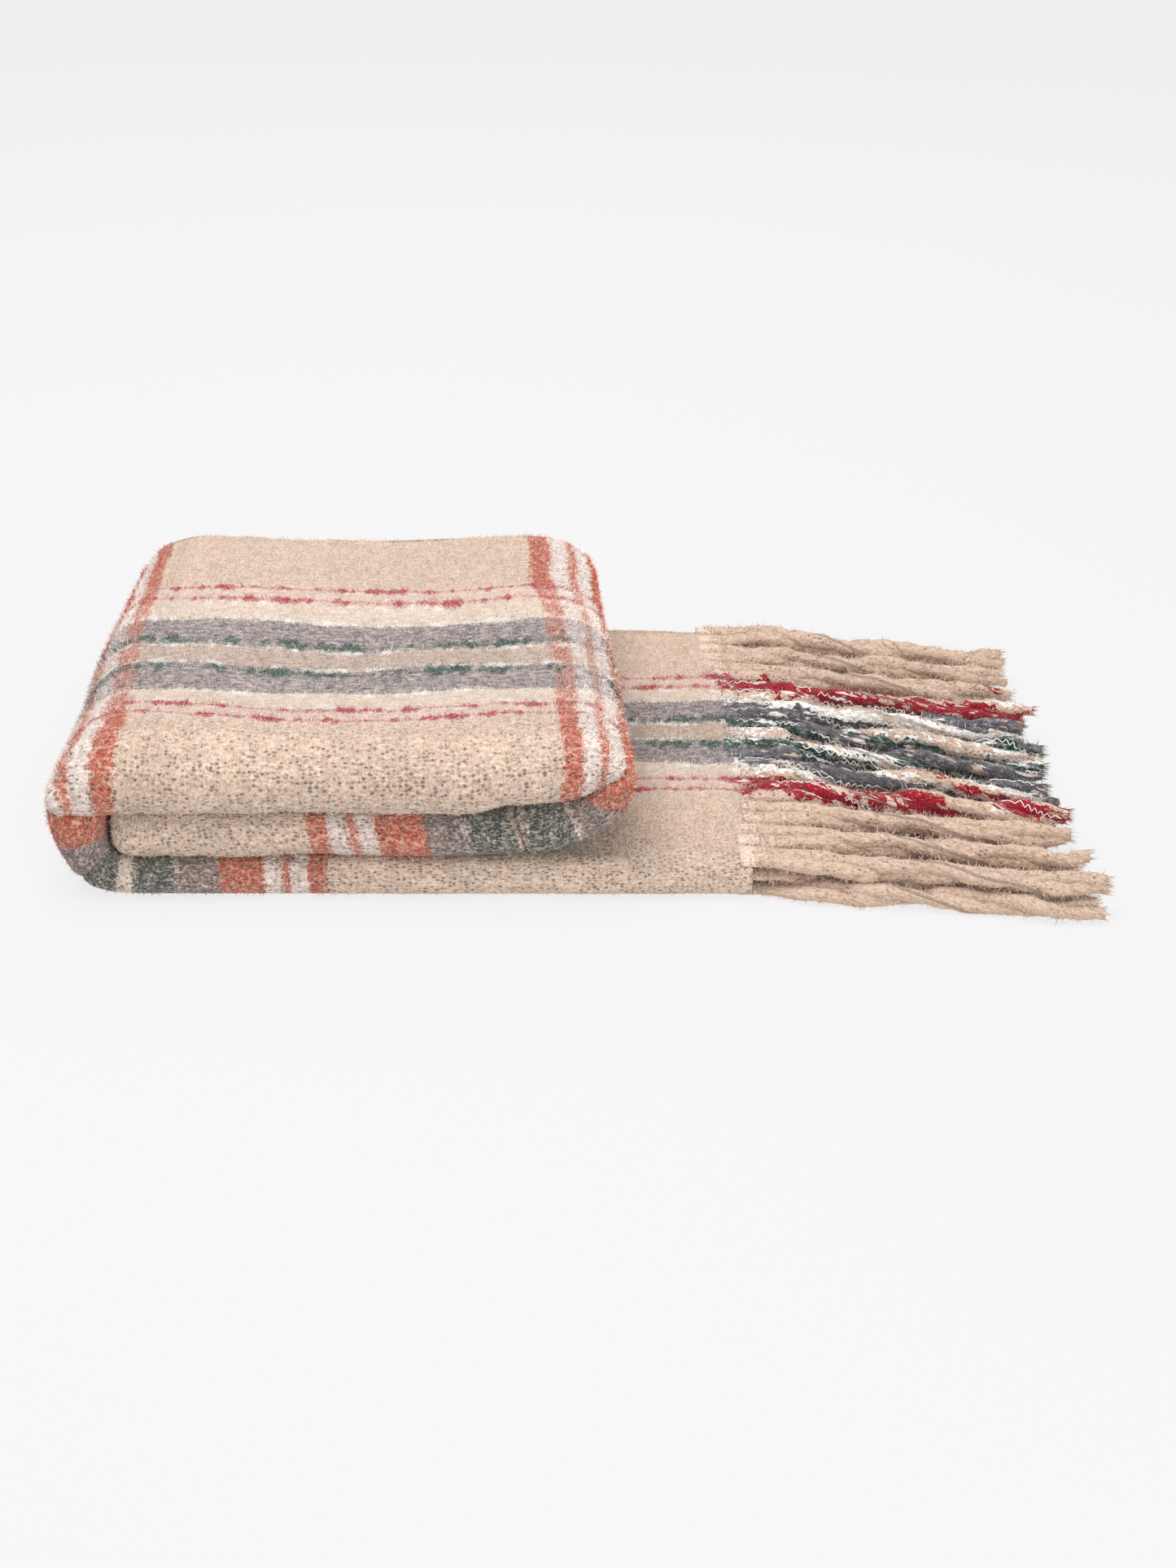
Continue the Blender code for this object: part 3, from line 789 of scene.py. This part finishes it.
def fibres(points, dirs, lengths, widths):
    """Closed slim spikes, one for each point."""
    n = len(points)
    dirs = dirs / np.linalg.norm(dirs, axis=1, keepdims=True)
    ref = np.where(np.abs(dirs[:, 2:3]) < 0.8, (0.0, 0.0, 1.0), (1.0, 0.0, 0.0))
    s = np.cross(dirs, ref)
    s /= np.linalg.norm(s, axis=1, keepdims=True)
    b = np.cross(dirs, s)
    w = widths[:, None]
    base = [points + w * (s * cos(k) + b * sin(k)) for k in (0.0, 2.094, 4.189)]
    tip = points + dirs * lengths[:, None]
    verts = np.stack(base + [tip], 1).reshape(-1, 3)
    o = 4 * np.arange(n)[:, None]
    spike = ((0, 2, 1), (0, 1, 3), (1, 2, 3), (2, 0, 3))
    return verts, np.concatenate([o + np.array(f) for f in spike], 1).reshape(-1, 3)


def fringe_class(v):
    c = stripe_at(min(abs(v + random.gauss(0, 0.004) - g) for g in V_GROUPS), FRINGE)[0]
    if c == SAND_F:
        return CLASS_NAMES.index(random.choice(("sand", "sand_dark", "sand_dark", "cream")))
    if c in (GREEN_DEEP, GREY_DARK) and random.random() < 0.3:
        return CLASS_NAMES.index("grey")
    return class_index(c)


def flat_v(y, ply):
    """Flat position across the cloth at depth y on the upper, middle or lower ply."""
    return (V_GROUPS[2] + y + SLIPS[0], V_GROUPS[0] + y + SLIPS[1],
            V_GROUPS[1] - y + SLIPS[2])[ply]


def strand_fuzz(parts, path, w, h, spin, v0, v1):
    """Loose fibres all over a strand, and a frayed tip."""
    t, side, up = frames(path)
    k = 950
    pick = rng.integers(2, len(path) - 1, k)
    pick[:k // 9] = rng.integers(3, ROOT_NEAR + 1, k // 9)     # more over the root
    th = rng.uniform(0, 2 * pi, k)
    c, q = np.cos(th), np.sin(th)
    out = side[pick] * c[:, None] + up[pick] * q[:, None]
    base = (path[pick] + side[pick] * (c * w[pick] * 0.94)[:, None]
            + up[pick] * (q * h[pick] * 0.94)[:, None])
    near = pick < ROOT_NEAR                                    # none there reach back or down
    low = np.where(near, 0.4, -1.4)[:, None]
    lay = t[pick] * (low + (1.6 - low) * rng.uniform(0, 1, (k, 1))) + out
    lay = lay + rng.normal(0, 0.45, (k, 3))
    lay[:, 2] = np.where(near, np.abs(lay[:, 2]), lay[:, 2])
    fluff = fibres(base, lay, rng.uniform(0.0024, 0.0072, k), rng.uniform(0.00020, 0.00040, k))
    v = v0 + (v1 - v0) * (0.5 + 0.5 * np.cos(th - spin[pick]))
    slots = [NAP_SLOT + c for c in [fringe_class(x) for x in v] for _ in range(4)]
    parts.add(slots, fluff[0], [fluff[1]])
    k = 34
    th = rng.uniform(0, 2 * pi, k)
    c, q = np.cos(th)[:, None], np.sin(th)[:, None]
    r = (np.sqrt(rng.uniform(0, 1, k)) * 0.9)[:, None]
    base = path[-1] - t[-1] * 0.002 + side[-1] * (c * r * w[-1]) + up[-1] * (q * r * h[-1])
    lay = t[-1] * 2.2 + side[-1] * c * 0.8 + up[-1] * q * 0.5 + rng.normal(0, 0.35, (k, 3))
    verts, faces = fibres(base, lay, rng.uniform(0.003, 0.0095, k),
                          rng.uniform(0.0003, 0.0009, k))
    verts[:, 2] = np.maximum(verts[:, 2], 0.0004)
    v = v0 + (v1 - v0) * rng.uniform(0, 1, k)
    parts.add([NAP_SLOT + fringe_class(x) for x in v for _ in range(4)], verts, [faces])


def core_thread(parts, path, w, h, spin, v0, v1, dist, length, wave):
    """A crinkled pale thread that winds over a dark strand and dives in and out of it."""
    m = int(length / 0.0011)
    q = np.linspace(0.006, length - 0.004, m)
    line = np.stack([np.interp(q, dist, path[:, i]) for i in range(3)], 1)
    _, side, up = frames(line)
    zig = 0.62 * (2 * np.abs((q / 0.0062 + 0.4 * np.sin(q * 140)) % 1 - 0.5) - 0.5)
    angle = np.interp(q, dist, spin) + 1.2 + 0.5 * np.sin(q * 60 + wave[0]) + zig
    line = (line + side * (np.cos(angle) * (np.interp(q, dist, w) + 0.0002))[:, None]
            + up * (np.sin(angle) * (np.interp(q, dist, h) + 0.0002))[:, None])
    show = (np.sin(q * 75 + wave[1]) + 0.6 * np.sin(q * 190 + wave[2])) > -0.15
    line = line - up * np.where(show, 0, 0.0014)[:, None]
    r = np.full(m, 0.00042)
    parts.add(THREAD_SLOT, *tube(line, r, r, np.zeros(m), 4, v0, v1, q))


def tassel(parts, number, lane, ply, z0, z1, length, seed, fine):
    """Two strands that gather from the woven edge and twist round each other."""
    own = random.Random(seed)
    n = int(length / (0.0030 if fine else 0.007)) + 1
    dist = np.linspace(-0.008 if fine else -0.0035, length, n)     # from inside the cloth
    rr = np.maximum(dist, 0)
    t = rr / FRINGE_L
    drift = -0.03 * t * lane - 0.040 * t ** 1.2 + 0.0022 * np.sin(14 * t) * smooth(0, 0.4, t)
    drop = (0.0, 0.05) if ply == 0 else (0.012, 0.062)
    base_z = z0 + (z1 - z0) * smooth(*drop, rr)
    twist = own.uniform(20, 40)
    phase = own.uniform(-0.35, 0.35)
    begin = own.uniform(0.018, 0.040)
    sway = [own.uniform(0.0006, 0.0016) for _ in range(2)]
    wave = [own.uniform(0, 6.28) for _ in range(4)]
    gather = smooth(0.0, 0.060 + 0.035 * own.random(), rr)
    rad = (0.0060 if ply == 0 else 0.0050) * own.uniform(0.90, 1.10)
    ang = phase * gather + twist * np.maximum(0, rr - begin)
    spin = ang * gather
    end = smooth(length - 0.028, length, rr)
    for s in (0, 1):
        a = ang + pi * s
        spread = ROOT_W + (TWIST_R - ROOT_W) * gather
        y = (lane + drift + np.cos(a) * spread * (1 + 0.45 * end)
             + sway[s] * np.sin(rr * 95 + wave[s]) * smooth(0.02, 0.08, rr))
        z = (base_z + np.sin(a) * (TWIST_R * gather) * (1 - 0.3 * end)
             + 0.0007 * np.sin(rr * 130 + wave[s + 2]) * gather)
        if ply == 0:                # a low arch, and a higher one on the last tassel
            z = z + (0.0060 if number == 11 else 0.0012) * np.sin(pi * smooth(0, 0.11, rr))
        cut = own.uniform(-0.008, 0.004)
        x = FRINGE_X + FRINGE_SKEW * lane + dist * (1 + cut / length)
        bulge = 0.13 * np.sin(rr * 120 + wave[s]) + 0.09 * np.sin(rr * 330 + wave[s + 2])
        bulge = 1 + bulge * gather
        w = (ROOT_W + (rad - ROOT_W) * gather) * bulge * (1 - 0.22 * end)
        h = (ROOT_H + (rad - ROOT_H) * smooth(0.004, 0.050, rr)) * bulge * (1 - 0.22 * end)
        if ply == 0:                # the yarns run in under a ragged last pick of the weave
            pick_0, pick_1 = -0.008 + 0.003 * (number % 2), -0.001 + 0.003 * s
            h = h + 0.0005 * smooth(pick_0, pick_1, dist) * (1 - gather)
        z = np.maximum(z, h + 0.0004)
        under = np.maximum(y, -0.1935)             # the root stays under the cloth's front
        y = y + (under - y) * (1 - smooth(0.008, 0.050, rr))
        path = np.stack((x, y, z), 1)
        middle = lane + (1 - 2 * s) * ROOT_W
        v0, v1 = flat_v(middle - ROOT_W, ply), flat_v(middle + ROOT_W, ply)
        sides = 14 if fine else 8
        parts.add(YARN_SLOT, *tube(path, w, h, spin, sides, v0, v1, dist))
        if not fine:
            continue
        strand_fuzz(parts, path, w, h, spin, v0, v1)
        if 0.008 < min(abs((v0 + v1) / 2 - g) for g in V_GROUPS) < 0.098:
            core_thread(parts, path, w, h, spin, v0, v1, dist, length, wave)


PLY_Z = (0.0262, 0.0148, 0.0034)      # height of each ply at the free edge
for k in range(12):
    lane = LANE_0 + LANE * k
    parts = Parts()
    tassel(parts, k, lane, 0, PLY_Z[0], 0.0238, 0.236 + 0.008 * sin(2.4 * k + 0.6), 100 + k, True)
    ob = parts.build("tassel_upper_%02d" % (k + 1), MATS)
    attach(ob, "tassel_%02d" % (k + 1))
    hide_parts("fringe_upper_%02d" % (k + 1))
for ply, label, shift in ((1, "middle", 0.25), (2, "lower", -0.25)):
    parts = Parts()
    for k in range(12):
        lane = LANE_0 + LANE * (k + shift)
        tassel(parts, k, lane, ply, PLY_Z[ply], 0.0082, 0.232 + 0.009 * sin(1.7 * k + ply),
               200 + 20 * ply + k, k < 2)
    ob = parts.build("fringe_" + label, MATS)
    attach(ob, "blanket")
    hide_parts(*["fringe_%s_%02d" % (label, k + 1) for k in range(12)])

# the other end's tassels lie flat between the layers
TUCK_X, TUCK_L, TUCK_STEP, TUCK_W = 0.1956, 0.172, 0.0077, 0.335
parts = Parts()
names = []
for ply, (label, count) in enumerate((("upper", 7), ("middle", 7), ("lower", 8))):
    z = 0.0761 + TUCK_STEP * (1 - ply)
    for k in range(count):
        names.append("tucked_%s_%02d" % (label, k + 1))
        lane = 0.012 + TUCK_W * ((k + 0.5) / count - 0.5)
        n = 26
        dist = np.linspace(-0.002, TUCK_L, n)
        t = np.maximum(dist, 0) / TUCK_L
        path = np.stack((TUCK_X + dist, lane + 0.010 * np.sin(3 * pi * t) * smooth(0, 0.35, t),
                         np.full(n, z)), 1)
        w = (0.0150 + (0.0080 - 0.0150) * smooth(0, 0.4, t)) * (1 - 0.3 * smooth(0.85, 1, t))
        parts.add(YARN_SLOT, *tube(path, w, np.full(n, 0.0027), np.zeros(n), 10,
                                   flat_v(lane - 0.015, 2), flat_v(lane + 0.015, 2), dist))
ob = parts.build("fringe_tucked", [YARN])
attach(ob, "blanket")
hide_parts(*names)


# -------- nap on the cloth
def nap(name, count, rows, cols, low, high, stand, keep):
    """Loose fibres, low to high long, on the outer side of a patch of the cloth. stand is
    how steeply they stand, and keep tells from a place how many grow there."""
    patch = (slice(*rows), slice(*cols))
    normals, flats = N0[patch], FLATS[patch]
    A = P[patch] + normals * CLOTH_T * 0.46
    e1, e2 = A[1:, :-1] - A[:-1, :-1], A[:-1, 1:] - A[:-1, :-1]
    area = np.linalg.norm(np.cross(e1, e2), axis=2)
    area = area * keep((A[:-1, :-1] + A[1:, 1:]) / 2)
    p = (area / area.sum()).ravel()
    cell = rng.choice(len(p), count, p=p)
    i, j = np.unravel_index(cell, area.shape)
    a, b = rng.uniform(0, 1, (2, count, 1))
    pos = A[i, j] + e1[i, j] * a + e2[i, j] * b
    flat = (flats[i, j] + (flats[i + 1, j] - flats[i, j]) * a
            + (flats[i, j + 1] - flats[i, j]) * b)
    run = e1[i, j] / np.linalg.norm(e1[i, j], axis=1, keepdims=True)
    across = np.cross(normals[i, j], run)
    th = rng.uniform(0, 2 * pi, (count, 1))
    up = stand[0] + (stand[1] - stand[0]) * rng.uniform(0, 1, (count, 1)) ** 2.2
    lay = run * np.cos(th) * 1.25 + across * np.sin(th) + normals[i, j] * up
    v, f = fibres(pos, lay, rng.uniform(low, high, count), rng.uniform(0.00018, 0.00034, count))
    v[:, 2] = np.maximum(v[:, 2], 0.0003)
    ob = add_object(name, (v - CENTRE).tolist(), f.tolist(), NAP, False)
    classes = np.array([yarn_class(*q) for q in flat], np.int32)
    ob.data.polygons.foreach_set("material_index", np.repeat(classes, 4))
    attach(ob, "blanket")
    return ob


def station(u):
    return int(np.searchsorted(U, u))


LOAD = 1.0
naps = [
    nap("nap_top", int(42000 * LOAD), (station(0.535), station(0.985)), (S_OUT - 4, S_FRONT + 8),
        0.0024, 0.0062, (0.12, 2.4), lambda c: 1.0),
    nap("nap_front", int(11000 * LOAD), (0, station(1.40)), (S_FRONT - 3, S_IN + 1),
        0.0016, 0.0042, (0.25, 2.6), lambda c: (c[..., 1] < -0.17) * (c[..., 2] > 0.002) * 1.0),
    nap("nap_ends", int(16000 * LOAD), (0, station(0.105)), (S_IN, P.shape[1]),
        0.0022, 0.0056, (0.12, 2.2), lambda c: (c[..., 0] > 0.40) * 1.0),
    nap("nap_bends", int(14000 * LOAD), (station(0.455), station(1.10)), (N_A - 2, S_FRONT),
        0.0020, 0.0052, (0.15, 2.4),
        lambda c: ((c[..., 0] < 0.045) | (c[..., 0] > 0.38) | (c[..., 1] > 0.19))
        * (c[..., 2] > 0.004) * (c[..., 2] < 0.100)),
]

# -------- floor, light, camera
bpy.ops.mesh.primitive_plane_add(size=60, location=(0, 0, 0))
floor = bpy.context.object
floor.name = "floor"
floor_mat = bpy.data.materials.new("pale_floor")
set_inputs(Tree(floor_mat).bsdf, Base_Color=(0.105, 0.101, 0.103, 1.0), Roughness=0.9,
           Specular_IOR_Level=0.0, Emission_Color=(1.0, 0.995, 0.998, 1.0),
           Emission_Strength=0.79)
floor.data.materials.append(floor_mat)


def area_light(name, loc, size, power, colour=(1, 1, 1)):
    data = bpy.data.lights.new(name, "AREA")
    data.shape, data.size, data.size_y = "RECTANGLE", size[0], size[1]
    data.energy, data.color = power, colour
    ob = bpy.data.objects.new(name, data)
    ob.location = loc
    ob.rotation_euler = (Vector(STACK) - Vector(loc)).to_track_quat("-Z", "Y").to_euler()
    scene.collection.objects.link(ob)


STACK = (0, 0, 0.05)                 # what the lights point at
area_light("key", (-0.6, -0.2, 2.3), (1.7, 1.7), 46, (0.975, 0.985, 1.0))
area_light("fill", (0.9, -2.2, 0.85), (2.0, 1.2), 26, (1.0, 0.98, 0.96))
area_light("back", (0.2, 1.9, 1.6), (1.8, 1.0), 9)

world = bpy.data.worlds.new("studio")
world.use_nodes = True
sky = world.node_tree.nodes["Background"].inputs
sky["Color"].default_value, sky["Strength"].default_value = (0.98, 0.99, 1.0, 1.0), 0.62
scene.world = world
scene.view_settings.view_transform = "Standard"
scene.view_settings.look = "None"

cam = bpy.data.cameras.new("camera")
cam.sensor_fit, cam.sensor_height, cam.sensor_width = "VERTICAL", 36.0, 36.0
cam.lens, cam.shift_x = 54.5794, 0.125909
cam.clip_start, cam.clip_end = 0.05, 60
cam_ob = bpy.data.objects.new("camera", cam)
elevation, away = radians(27.75), 1.845
aim = np.array((0.242, -0.028, 0.0)) - CENTRE
cam_ob.location = (aim[0], aim[1] - away * cos(elevation), aim[2] + away * sin(elevation))
cam_ob.rotation_euler = (pi / 2 - elevation, 0, 0)
scene.collection.objects.link(cam_ob)
scene.camera = cam_ob
